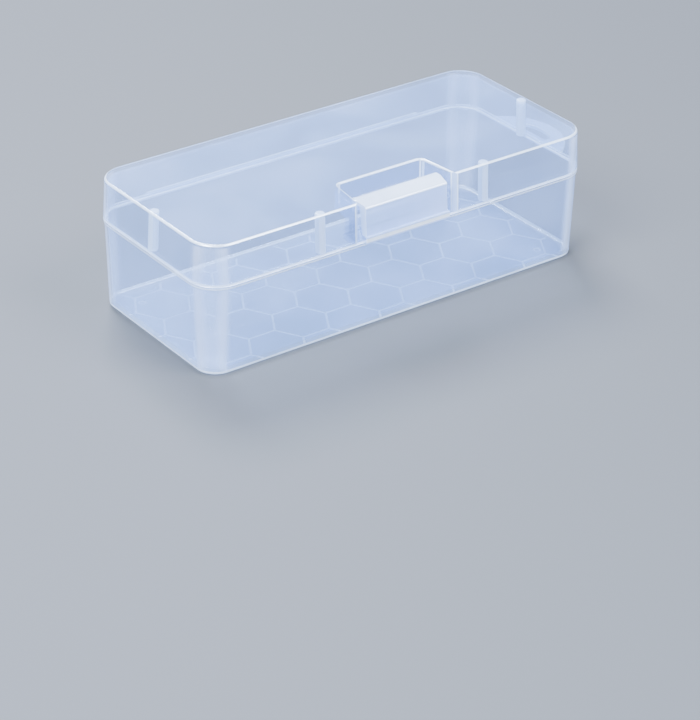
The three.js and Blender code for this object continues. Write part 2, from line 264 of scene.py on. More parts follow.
# Parts of a corner's bend in plan, by what turn() gives: 0 where it starts, 0.7 in its middle
TURN_START = 0.05
TURN_EARLY = 0.3
TURN_MIDDLE = 0.55
TURN_LATE = 0.6

bpy.ops.object.select_all(action="DESELECT")


def start_piece(name):
    """New empty piece at the origin, open in edit mode."""
    if bpy.context.mode != "OBJECT":
        bpy.ops.object.mode_set(mode="OBJECT")
    bpy.ops.object.select_all(action="DESELECT")
    bpy.ops.object.add(type="MESH", location=(0, 0, 0))
    piece = bpy.context.object
    piece.name = name
    piece.data.name = name
    bpy.ops.object.mode_set(mode="EDIT")
    return piece


def leave(piece):
    """Closes edit mode and leaves only this piece selected."""
    if bpy.context.mode != "OBJECT":
        bpy.ops.object.mode_set(mode="OBJECT")
    bpy.ops.object.select_all(action="DESELECT")
    bpy.context.view_layer.objects.active = piece
    piece.select_set(True)


def reopen(piece):
    """Opens a piece in edit mode again."""
    leave(piece)
    bpy.ops.object.mode_set(mode="EDIT")


def choose(kind, test):
    """Selects what passes a test, of the vertices, edges or faces of the piece in edit mode."""
    bpy.ops.mesh.select_mode(type=kind)
    bpy.ops.mesh.select_all(action="DESELECT")
    shape = bmesh.from_edit_mesh(bpy.context.edit_object.data)
    items = {"VERT": shape.verts, "EDGE": shape.edges, "FACE": shape.faces}[kind]
    for item in [item for item in items if test(item)]:
        item.select_set(True)
    shape.select_flush_mode()
    bmesh.update_edit_mesh(bpy.context.edit_object.data)


def near(value, place):
    """Whether a coordinate is at a place."""
    return abs(value - place) < NEAR


def on_plane(item, axis, place):
    """Whether an edge or face lies in the plane where x, y or z (0, 1 or 2) has a value."""
    return all(near(corner.co[axis], place) for corner in item.verts)


def stands(edge):
    """Whether an edge runs upwards, and not level."""
    return abs(edge.verts[0].co.z - edge.verts[1].co.z) > MM


def sharp(edge):
    """Whether two faces meet at an edge and turn sharply there."""
    return edge.calc_face_angle(0) > SHARP


def runs_along_x(edge, y, rise):
    """Whether an edge runs along X at a place in y and a height."""
    return on_plane(edge, 1, y) and on_plane(edge, 2, FOOT_HEIGHT + rise)


def move(x=0, y=0, z=0):
    """Moves what is selected."""
    bpy.ops.transform.translate(value=(x, y, z))


def extrude(x=0, y=0, z=0):
    """Extrudes the selected faces."""
    bpy.ops.mesh.extrude_region_move(TRANSFORM_OT_translate={"value": (x, y, z)})


def round_edges(radius, test, steps=EDGE_STEPS):
    """Rounds the edges that pass a test."""
    choose("EDGE", test)
    bpy.ops.mesh.bevel(offset=radius, offset_type="OFFSET", segments=steps, affect="EDGES",
                       clamp_overlap=True)


def round_corners(radius, steps):
    """Rounds the corners of the selected flat outline."""
    bpy.ops.mesh.bevel(offset=radius, offset_type="OFFSET", segments=steps, affect="VERTICES")


def outward():
    """Turns every face of the piece in edit mode outwards, once its doubles are merged."""
    bpy.ops.mesh.select_mode(type="VERT")
    bpy.ops.mesh.select_all(action="SELECT")
    bpy.ops.mesh.remove_doubles(threshold=NEAR / 2)
    bpy.ops.mesh.normals_make_consistent(inside=False)


def add_block(low, high):
    """Adds a block between two corners."""
    low, high = Vector(low), Vector(high)
    bpy.ops.mesh.primitive_cube_add(size=1, location=(low + high) / 2)
    bpy.ops.transform.resize(value=high - low, center_override=(low + high) / 2)


def add_bar(x, y, radius, low, high, steps=ROUND_STEPS):
    """Adds an upright bar of round section."""
    bpy.ops.mesh.primitive_cylinder_add(vertices=steps, radius=radius, depth=high - low,
                                        location=(x, y, (low + high) / 2))


def add_plate(middle, half_length, half_width):
    """Adds a flat rectangle, from its middle and half sizes."""
    bpy.ops.mesh.primitive_plane_add(size=2, location=middle)
    bpy.ops.transform.resize(value=(half_length, half_width, 1), center_override=middle)


def close_levels(heights):
    """Joins the outlines at these heights, from the bottom up, and closes both ends."""
    for low, high in zip(heights, heights[1:]):
        choose("EDGE", lambda edge: on_plane(edge, 2, low) or on_plane(edge, 2, high))
        bpy.ops.mesh.bridge_edge_loops()
    for height in (heights[0], heights[-1]):
        choose("EDGE", lambda edge: on_plane(edge, 2, height))
        bpy.ops.mesh.edge_face_add()
    outward()


def add_stack(levels):
    """Adds a solid through rounded rectangles of the plan: height, inset and corner radius."""
    for height, inset, radius in levels:
        add_plate((MIDDLE_X, 0, height), HALF_LENGTH - inset, HALF_WIDTH - inset)
        round_corners(radius, CORNER_STEPS)
        bpy.ops.mesh.delete(type="ONLY_FACE")
    close_levels([level[0] for level in levels])


def combine(piece, other, operation):
    """Joins, cuts or trims a piece with another, which is used up."""
    leave(other)
    leave(piece)
    modifier = piece.modifiers.new("combine", "BOOLEAN")
    modifier.operation = operation
    modifier.solver = "EXACT"
    modifier.object = other
    bpy.ops.object.modifier_apply(modifier=modifier.name)
    bpy.data.objects.remove(other)


def level_of_tub(rise, inset):
    """Level of the tub's wall at a height over the floor's underside, moved in from its outside."""
    lean = BEAD_STEP + TUB_LEAN * (1 - rise / BEAD_BOTTOM)
    radius = FLOOR_RADIUS + (RIM_RADIUS - FLOOR_RADIUS) * rise / TUB_HEIGHT
    return FOOT_HEIGHT + rise, lean + inset, radius - inset


def lean_of_lid(rise):
    """How far the lid's skirt stands in at a height."""
    return LID_LEAN * (rise - LID_BOTTOM) / (LID_TOP - LID_BOTTOM)


def level_of_lid(rise, inset):
    """Level of the lid's skirt at a height, moved in from its outside."""
    total = lean_of_lid(rise) + inset
    return FOOT_HEIGHT + rise, total, RIM_RADIUS - total


def pocket_half(y):
    """Half the pocket's width at a place behind the front."""
    share = (POCKET_BACK_Y - y) / POCKET_DEPTH
    return POCKET_BACK_HALF + (POCKET_FRONT_HALF - POCKET_BACK_HALF) * share


def set_half_width(y, half, now):
    """Widens or narrows what stands at a place in y, from one half width to another."""
    choose("VERT", lambda corner: near(corner.co.y, y))
    bpy.ops.transform.resize(value=(half / now, 1, 1), center_override=(MIDDLE_X, y, 0))


def model_tub_outside():
    """Tub as a filled block: rounded floor edge, leaning wall and a rim bead with a soft edge."""
    piece = start_piece("tub")
    levels = [level_of_tub(FLOOR_EDGE * gone, FLOOR_EDGE * left) for gone, left in QUARTER_ROUND]
    levels += [level_of_tub(FLOOR_EDGE + FLOOR_HIGHLIGHT_BAND, 0), level_of_tub(BEAD_BOTTOM - BEAD_STEP, 0),
               (FOOT_HEIGHT + BEAD_BOTTOM, 0, RIM_RADIUS),
               (FOOT_HEIGHT + BEAD_BOTTOM + BEAD_HIGHLIGHT_BAND, 0, RIM_RADIUS)]
    levels += [(RIM_Z - RIM_EDGE * left, RIM_EDGE * gone, RIM_RADIUS - RIM_EDGE * gone)
               for gone, left in QUARTER_ROUND]
    add_stack(levels)
    leave(piece)
    return piece


def model_tub_space():
    """Space inside the tub, flared a little at the rim."""
    piece = start_piece("tub_space")
    levels = [level_of_tub(FLOOR_THICKNESS + FLOOR_INNER_EDGE * gone,
                           WALL + FLOOR_INNER_EDGE * left) for gone, left in QUARTER_ROUND]
    levels += [level_of_tub(TUB_HEIGHT - RIM_EDGE * left, WALL - RIM_EDGE * gone)
               for gone, left in QUARTER_ROUND]
    add_stack(levels + [level_of_tub(TUB_HEIGHT + OVERRUN, WALL - RIM_EDGE)])
    leave(piece)
    return piece


def model_shelf():
    """Shelf that closes the tub under the lid's pocket."""
    piece = start_piece("shelf")
    front, back = FRONT_Y + WALL / 2, LEDGE_Y + SHELF_LAP
    half = pocket_half(front) + SHELF_LAP
    top = RIM_Z - FUSE
    add_block((MIDDLE_X - half, front, top - WALL), (MIDDLE_X + half, back, top))
    set_half_width(back, pocket_half(back) + SHELF_LAP, half)
    round_edges(SHELF_CORNER, lambda edge: on_plane(edge, 1, back) and stands(edge))
    round_edges(RIM_EDGE, lambda edge: on_plane(edge, 2, top - WALL) and sharp(edge), FINE_STEPS)
    leave(piece)
    return piece


def model_hang_loop():
    """Round-ended tab level with the rim, with a D-shaped slot and soft edges."""
    top = RIM_Z - FUSE
    low = top - LOOP_THICKNESS
    piece = start_piece("hang_loop")
    add_bar(LOOP_X, 0, LOOP_RADIUS, low, top, LOOP_STEPS)
    bpy.ops.mesh.bisect(plane_co=(END_X - WALL / 2, 0, 0), plane_no=(1, 0, 0), use_fill=True,
                        clear_inner=True)
    outward()
    slot = start_piece("slot")
    add_bar(LOOP_X, 0, LOOP_RADIUS - SLOT_RIM, low - OVERRUN, top + OVERRUN, LOOP_STEPS)
    for place, facing in (((END_X + SLOT_GAP, 0, 0), (1, 0, 0)),
                          ((0, -SLOT_HALF, 0), (0, 1, 0)), ((0, SLOT_HALF, 0), (0, -1, 0))):
        bpy.ops.mesh.select_all(action="SELECT")
        bpy.ops.mesh.bisect(plane_co=place, plane_no=facing, use_fill=True, clear_inner=True)
    outward()
    round_edges(SLOT_CORNER, lambda edge: stands(edge) and sharp(edge))
    combine(piece, slot, "DIFFERENCE")
    reopen(piece)
    round_edges(SMALL_EDGE, lambda edge: sharp(edge)
                and (on_plane(edge, 2, low) or on_plane(edge, 2, top)), SMALL_STEPS)
    leave(piece)
    return piece


def model_feet():
    """Four small feet near the corners of the floor, each with a ring round a slight hollow."""
    piece = start_piece("feet")
    x = HALF_LENGTH - FOOT_END_INSET
    y = HALF_WIDTH - FOOT_SIDE_INSET
    for side_x, side_y in ((-1, -1), (1, -1), (1, 1), (-1, 1)):
        add_bar(MIDDLE_X + side_x * x, side_y * y, FOOT_RADIUS, 0,
                FOOT_HEIGHT + FLOOR_THICKNESS / 2)
    round_edges(SMALL_EDGE, lambda edge: on_plane(edge, 2, 0), SMALL_STEPS)
    choose("FACE", lambda face: on_plane(face, 2, 0))
    bpy.ops.mesh.inset(thickness=FOOT_RING)
    move(z=FOOT_HOLLOW)
    leave(piece)
    return piece


def model_honeycomb():
    """Net of fine ridges under the floor: hexagons side by side, each with its middle taken out."""
    piece = start_piece("honeycomb")
    column_pitch = 1.5 * HEXAGON_SIDE
    row_pitch = math.sqrt(3) * HEXAGON_SIDE
    low = FOOT_HEIGHT - RIDGE_HEIGHT
    columns = math.ceil(HALF_LENGTH / column_pitch)
    rows = math.ceil(HALF_WIDTH / row_pitch)
    for column in range(-columns, columns + 1):
        for row in range(-rows, rows + 1):
            # Every other column stands half a row higher
            place = (MIDDLE_X + column * column_pitch, (row + column % 2 / 2) * row_pitch, low)
            bpy.ops.mesh.primitive_circle_add(vertices=6, radius=HEXAGON_SIDE, fill_type="NGON",
                                              rotation=(0, 0, math.pi / 2), location=place)
    outward()
    bpy.ops.mesh.select_mode(type="FACE")
    bpy.ops.mesh.select_all(action="SELECT")
    bpy.ops.mesh.inset(thickness=RIDGE_WIDTH / 2, use_individual=True)
    bpy.ops.mesh.delete(type="FACE")
    bpy.ops.mesh.select_all(action="SELECT")
    extrude(z=RIDGE_HEIGHT + FUSE)
    outward()
    outline = start_piece("honeycomb_outline")
    inset = level_of_tub(0, 0)[1] + HONEYCOMB_INSET
    radius = FLOOR_RADIUS - HONEYCOMB_INSET
    add_stack([(low - OVERRUN, inset, radius), (FOOT_HEIGHT + OVERRUN, inset, radius)])
    combine(piece, outline, "INTERSECT")
    return piece


def model_tub():
    """Tub: walls, floor, rim bead, shelf, hang loop, honeycomb and feet in one moulding."""
    piece = model_tub_outside()
    combine(piece, model_tub_space(), "DIFFERENCE")
    for other in (model_shelf(), model_hang_loop(), model_honeycomb(), model_feet()):
        combine(piece, other, "UNION")
    return piece


def model_lid_outside():
    """Lid as a filled block: leaning skirt, soft lower edge and rounded top edge."""
    piece = start_piece("lid_shell")
    levels = [level_of_lid(LID_BOTTOM + RIM_EDGE * gone, RIM_EDGE * left)
              for gone, left in QUARTER_ROUND] + [level_of_lid(LID_BOTTOM + SEAM_HIGHLIGHT_BAND, 0)]
    levels += [level_of_lid(LID_TOP - LID_EDGE * left, LID_EDGE * gone)
               for gone, left in QUARTER_ROUND]
    add_stack(levels)
    leave(piece)
    return piece


def model_lid_space():
    """Space inside the lid, flared a little at its lower edge."""
    piece = start_piece("lid_space")
    ceiling = LID_TOP - LID_PLATE
    levels = [level_of_lid(LID_BOTTOM - OVERRUN, WALL - RIM_EDGE)]
    levels += [level_of_lid(LID_BOTTOM + RIM_EDGE * gone, WALL - RIM_EDGE * left)
               for gone, left in QUARTER_ROUND]
    levels += [level_of_lid(ceiling - LID_INNER_EDGE * left, WALL + LID_INNER_EDGE * gone)
               for gone, left in QUARTER_ROUND]
    add_stack(levels)
    leave(piece)
    return piece


def model_pillars():
    """Four round pillars that lean in with the skirt: two in front and one at each end."""
    piece = start_piece("lid_pillars")
    bottom = SEAM_Z + FUSE
    top = TOP_Z - PILLAR_CAP
    lean = lean_of_lid(LID_TOP - PILLAR_CAP)
    for x, y in PILLAR_PLACES:
        add_bar(MIDDLE_X + x, y, PILLAR_RADIUS, bottom, top)
        choose("VERT", lambda corner: corner.co.z > bottom + MM
               and math.hypot(corner.co.x - MIDDLE_X - x, corner.co.y - y) < 2 * PILLAR_RADIUS)
        move(x=-math.copysign(lean, x) if y == 0 else 0, y=lean if y else 0)
    round_edges(RIM_EDGE, lambda edge: on_plane(edge, 2, bottom), FINE_STEPS)
    round_edges(PILLAR_ROUND, lambda edge: on_plane(edge, 2, top))
    leave(piece)
    return piece


def model_casing_block(name, bottom, back, corner):
    """Block from near the lid's front to a place behind it, one wall wider than the pocket."""
    piece = start_piece(name)
    front = FRONT_Y + CASING_FRONT
    half = pocket_half(front) + WALL
    add_block((MIDDLE_X - half, front, bottom), (MIDDLE_X + half, back, TOP_Z - LID_PLATE / 2))
    set_half_width(back, pocket_half(back) + WALL, half)
    round_edges(corner, lambda edge: on_plane(edge, 1, back) and stands(edge))
    leave(piece)
    return piece


def model_casing():
    """Casing of the pocket and of the slot in front of it, one wall larger all round."""
    piece = model_casing_block("slot_casing", SEAM_Z + FUSE, LEDGE_Y + WALL, SMALL_EDGE)
    combine(piece, model_casing_block("pocket_casing", POCKET_Z - WALL, POCKET_BACK_Y + WALL,
                                      POCKET_CORNER + WALL), "UNION")
    return piece


def model_pocket_space():
    """Space of the pocket and of the slot before it, with arms that round the pocket's mouth."""
    piece = start_piece("pocket_space")
    low, middle, high = SEAM_Z - OVERRUN, POCKET_Z, TOP_Z + OVERRUN
    half = POCKET_FRONT_HALF
    add_block((MIDDLE_X - half, FRONT_Y, low), (MIDDLE_X + half, LEDGE_Y, high))
    bpy.ops.mesh.bisect(plane_co=(0, 0, middle), plane_no=(0, 0, 1))
    choose("FACE", lambda face: on_plane(face, 1, LEDGE_Y)
           and face.calc_center_median().z > middle)
    extrude(y=POCKET_BACK_Y - LEDGE_Y)
    for y in (LEDGE_Y, POCKET_BACK_Y):
        set_half_width(y, pocket_half(y), half)
    choose("FACE", lambda face: on_plane(face, 1, FRONT_Y))
    extrude(y=-HALF_WIDTH / 2)
    for side in (-1, 1):
        choose("FACE", lambda face: on_plane(face, 0, MIDDLE_X + side * half)
               and face.calc_center_median().y < FRONT_Y)
        extrude(x=side * HALF_WIDTH)
    # The mouth follows the lean of the skirt
    for height in (low, middle, high):
        choose("VERT", lambda corner: near(corner.co.y, FRONT_Y) and near(corner.co.z, height))
        move(y=lean_of_lid(height - FOOT_HEIGHT) - FUSE)
    outward()
    round_edges(POCKET_CORNER, lambda edge: on_plane(edge, 1, POCKET_BACK_Y) and stands(edge))
    round_edges(POCKET_EDGE, lambda edge: on_plane(edge, 2, middle) and sharp(edge)
                and all(corner.co.y > LEDGE_Y - NEAR for corner in edge.verts)
                and not on_plane(edge, 1, LEDGE_Y))
    round_edges(MOUTH_RADIUS, lambda edge: stands(edge)
                and all(abs(corner.co.y - FRONT_Y) < LID_LEAN + SMALL_EDGE
                        and near(abs(corner.co.x - MIDDLE_X), half) for corner in edge.verts))
    outward()
    leave(piece)
    return piece


def model_pocket_flare():
    """Cutter that rounds the pocket's upper edge: outlines that grow towards the lid's top."""
    piece = start_piece("pocket_flare")
    flare = (POCKET_FRONT_HALF - POCKET_BACK_HALF) / POCKET_DEPTH
    front = FRONT_Y - OVERRUN
    levels = [(TOP_Z - POCKET_EDGE * left, POCKET_EDGE * gone) for gone, left in QUARTER_ROUND]
    levels += [(TOP_Z + OVERRUN, POCKET_EDGE)]
    for height, grow in levels:
        back = POCKET_BACK_Y + grow
        middle = (MIDDLE_X, (front + back) / 2, height)
        wider = grow * math.hypot(1, flare)
        half = pocket_half(front) + wider
        add_plate(middle, half, (back - front) / 2)
        choose("VERT", lambda corner: near(corner.co.y, back) and near(corner.co.z, height))
        bpy.ops.transform.resize(value=((pocket_half(back) + wider) / half, 1, 1),
                                 center_override=middle)
        round_corners(POCKET_CORNER + grow, EDGE_STEPS)
        choose("FACE", lambda face: on_plane(face, 2, height))
        bpy.ops.mesh.delete(type="ONLY_FACE")
    close_levels([level[0] for level in levels])
    leave(piece)
    return piece


def model_catch():
    """Low bead along the front of the pocket's floor, which the flap's hook stands in front of."""
    piece = start_piece("catch")
    half = pocket_half(LEDGE_Y)
    back = LEDGE_Y + WALL
    top = POCKET_Z + CATCH_HEIGHT
    add_block((MIDDLE_X - half, LEDGE_Y, POCKET_Z - WALL / 2), (MIDDLE_X + half, back, top))
    set_half_width(back, pocket_half(back), half)
    round_edges(SMALL_EDGE, lambda edge: on_plane(edge, 2, top)
                and (on_plane(edge, 1, LEDGE_Y) or on_plane(edge, 1, back)), SMALL_STEPS)
    leave(piece)
    return piece


def model_lid():
    """Lid: skirt, top plate and the pocket for the latch."""
    piece = model_lid_outside()
    combine(piece, model_lid_space(), "DIFFERENCE")
    combine(piece, model_casing(), "UNION")
    combine(piece, model_pocket_space(), "DIFFERENCE")
    combine(piece, model_pocket_flare(), "DIFFERENCE")
    combine(piece, model_catch(), "UNION")
    return piece


def model_flap_plate():
    """Flap in side view, swept wide: face plate, lip and the hook that hangs from the lip."""
    piece = start_piece("flap")
    back = FRONT_Y + FLAP_THICKNESS
    lip_end = LEDGE_Y - LIP_CLEARANCE
    overhang = lip_end + LIP_OVERHANG
    hook = lip_end - HOOK_THICKNESS
    face_top = FLAP_TOP - LIP_FALL
    under_lip = face_top - LIP_THICKNESS
    lip_z = FOOT_HEIGHT + under_lip
    # Wider than the flap will be, because it is trimmed in plan later
    half = FLAP_HALF + LIP_FLARE + MM
    add_block((MIDDLE_X - half, FRONT_Y, FOOT_HEIGHT + FLAP_BOTTOM),
              (MIDDLE_X + half, back, FOOT_HEIGHT + face_top))
    bpy.ops.mesh.bisect(plane_co=(0, 0, lip_z), plane_no=(0, 0, 1))
    for start, end in ((back, hook), (hook, lip_end)):
        choose("FACE", lambda face: on_plane(face, 1, start)
               and face.calc_center_median().z > lip_z)
        extrude(y=end - start)
    choose("FACE", lambda face: on_plane(face, 2, lip_z) and face.calc_center_median().y > hook)
    extrude(z=LIP_THICKNESS - HOOK_DROP)
    choose("FACE", lambda face: on_plane(face, 1, lip_end)
           and face.calc_center_median().z > lip_z)
    extrude(y=LIP_OVERHANG)
    # The lip rises towards its end, and the face leans in with the skirt
    choose("VERT", lambda corner: corner.co.y > hook - NEAR)
    move(z=LIP_FALL)
    choose("VERT", lambda corner: corner.co.y < back + NEAR and corner.co.z > lip_z - NEAR)
    move(y=LID_LEAN)
    # The edge across the face moves down, clear of the bend
    choose("VERT", lambda corner: corner.co.y < FRONT_Y + LID_LEAN + NEAR
           and near(corner.co.z, lip_z))
    move(z=LIP_THICKNESS - FLAP_BEND - SMALL_EDGE)
    outward()
    round_edges(FLAP_BEND, lambda edge: runs_along_x(edge, FRONT_Y + LID_LEAN, face_top),
                BEND_STEPS)
    inner = ((back + LID_LEAN, under_lip), (hook, FLAP_TOP - LIP_THICKNESS))
    round_edges(FLAP_INNER_BEND,
                lambda edge: any(runs_along_x(edge, y, rise) for y, rise in inner))
    ends = ((overhang, FLAP_TOP), (overhang, FLAP_TOP - LIP_THICKNESS),
            (hook, FLAP_TOP - HOOK_DROP), (lip_end, FLAP_TOP - HOOK_DROP),
            (FRONT_Y, FLAP_BOTTOM), (back, FLAP_BOTTOM))
    round_edges(SMALL_EDGE, lambda edge: any(runs_along_x(edge, y, rise) for y, rise in ends),
                SMALL_STEPS)
    leave(piece)
    return piece


def model_gussets():
    """Ribs at both ends of the flap, between its face and its lip."""
    piece = start_piece("gussets")
    front = FRONT_Y + FLAP_THICKNESS / 2
    low = FOOT_HEIGHT + FLAP_BOTTOM + SMALL_EDGE
    top = FOOT_HEIGHT + FLAP_TOP - LIP_FALL - LIP_THICKNESS / 2
    for side in (-1, 1):
        inner, outer = sorted((side * (FLAP_HALF - GUSSET_THICKNESS), side * (FLAP_HALF - FUSE)))
        add_block((MIDDLE_X + inner, front, low),
                  (MIDDLE_X + outer, FRONT_Y + GUSSET_BOTTOM_DEPTH, top))
    choose("VERT", lambda corner: corner.co.z > top - NEAR and corner.co.y > front + NEAR)
    move(y=GUSSET_TOP_DEPTH - GUSSET_BOTTOM_DEPTH)
    choose("VERT", lambda corner: corner.co.z > top - NEAR and corner.co.y < front + NEAR)
    move(y=LID_LEAN)
    leave(piece)
    return piece


def model_flap():
    """Latch flap, trimmed in plan to widen along its lip, and rounded in front view."""
    piece = model_flap_plate()
    combine(piece, model_gussets(), "UNION")
    straight = FRONT_Y + LID_LEAN + FLAP_THICKNESS
    lip_back = LEDGE_Y - LIP_CLEARANCE + LIP_OVERHANG + FUSE
    plan = start_piece("flap_plan")
    add_block((MIDDLE_X - FLAP_HALF, FRONT_Y - OVERRUN, FOOT_HEIGHT),
              (MIDDLE_X + FLAP_HALF, straight, 2 * LID_TOP))
    choose("FACE", lambda face: on_plane(face, 1, straight))
    extrude(y=lip_back - straight)
    set_half_width(lip_back, FLAP_HALF + LIP_FLARE, FLAP_HALF)
    round_edges(LIP_CORNER, lambda edge: on_plane(edge, 1, lip_back) and stands(edge))
    combine(piece, plan, "INTERSECT")
    view = start_piece("flap_front")
    top = FOOT_HEIGHT + FLAP_TOP + FUSE
    half = FLAP_HALF + LIP_FLARE + FUSE
    add_block((MIDDLE_X - half, FRONT_Y - OVERRUN, FOOT_HEIGHT), (MIDDLE_X + half, 0, top))
    round_edges(FACE_CORNER, lambda edge: on_plane(edge, 2, top)
                and abs(edge.verts[0].co.y - edge.verts[1].co.y) > MM)
    combine(piece, view, "INTERSECT")
    return piece


def model_film(name, half, side, top):
    """Hinge film outside the seam, thin along its middle, with a foot on each part it joins."""
    piece = start_piece(name)
    inside = side * (HALF_WIDTH + FILM_GAP)
    outside = inside + side * FILM_THICKNESS
    low, high = RIM_Z - FILM_LAP, FOOT_HEIGHT + top + FILM_LAP
    band = (high - low) / FILM_STEPS
    add_block((MIDDLE_X - half, min(inside, outside), low),
              (MIDDLE_X + half, max(inside, outside), high))
    for step in range(1, FILM_STEPS):
        bpy.ops.mesh.select_all(action="SELECT")
        bpy.ops.mesh.bisect(plane_co=(0, 0, low + band * step), plane_no=(0, 0, 1))
    for step in range(1, FILM_STEPS):
        height = low + band * step
        waist = 1 - FILM_WAIST * math.sin(math.pi * step / FILM_STEPS) ** 2
        choose("VERT", lambda corner: near(corner.co.z, height))
        bpy.ops.transform.resize(value=(1, waist, 1),
                                 center_override=(MIDDLE_X, (inside + outside) / 2, height))
    # The lowest and the highest strip of the inside reach in to the tub and to the other part
    for height in (low, high):
        choose("FACE", lambda face: abs(face.normal.y) > UPRIGHT
               and abs(face.calc_center_median().y) < abs(inside) + FILM_THICKNESS / 4
               and abs(face.calc_center_median().z - height) < band)
        extrude(y=-side * (FILM_GAP + FUSE))
    outward()
    round_edges(FILM_EDGE, lambda edge: sharp(edge) and on_plane(edge, 1, outside)
                and (on_plane(edge, 2, low) or on_plane(edge, 2, high)), SMALL_STEPS)
    leave(piece)
    return piece


def linear(hex_colour):
    """Linear colour with alpha from an sRGB hex value."""
    parts = [int(hex_colour[start:start + 2], 16) / 255 for start in (1, 3, 5)]
    return [part / 12.92 if part <= 0.04045 else ((part + 0.055) / 1.055) ** 2.4
            for part in parts] + [1]


def add_node(tree, kind, inputs=None, **settings):
    """Adds a node with its settings. An input is a value, or an output that is linked to it."""
    node = tree.nodes.new(kind)
    for name, value in settings.items():
        setattr(node, name, value)
    for name, value in (inputs or {}).items():
        if isinstance(value, bpy.types.NodeSocket):
            tree.links.new(value, node.inputs[name])
        else:
            node.inputs[name].default_value = value
    return node


def new_material(name):
    """Empty node material."""
    material = bpy.data.materials.new(name)
    material.use_nodes = True
    material.node_tree.nodes.clear()
    return material


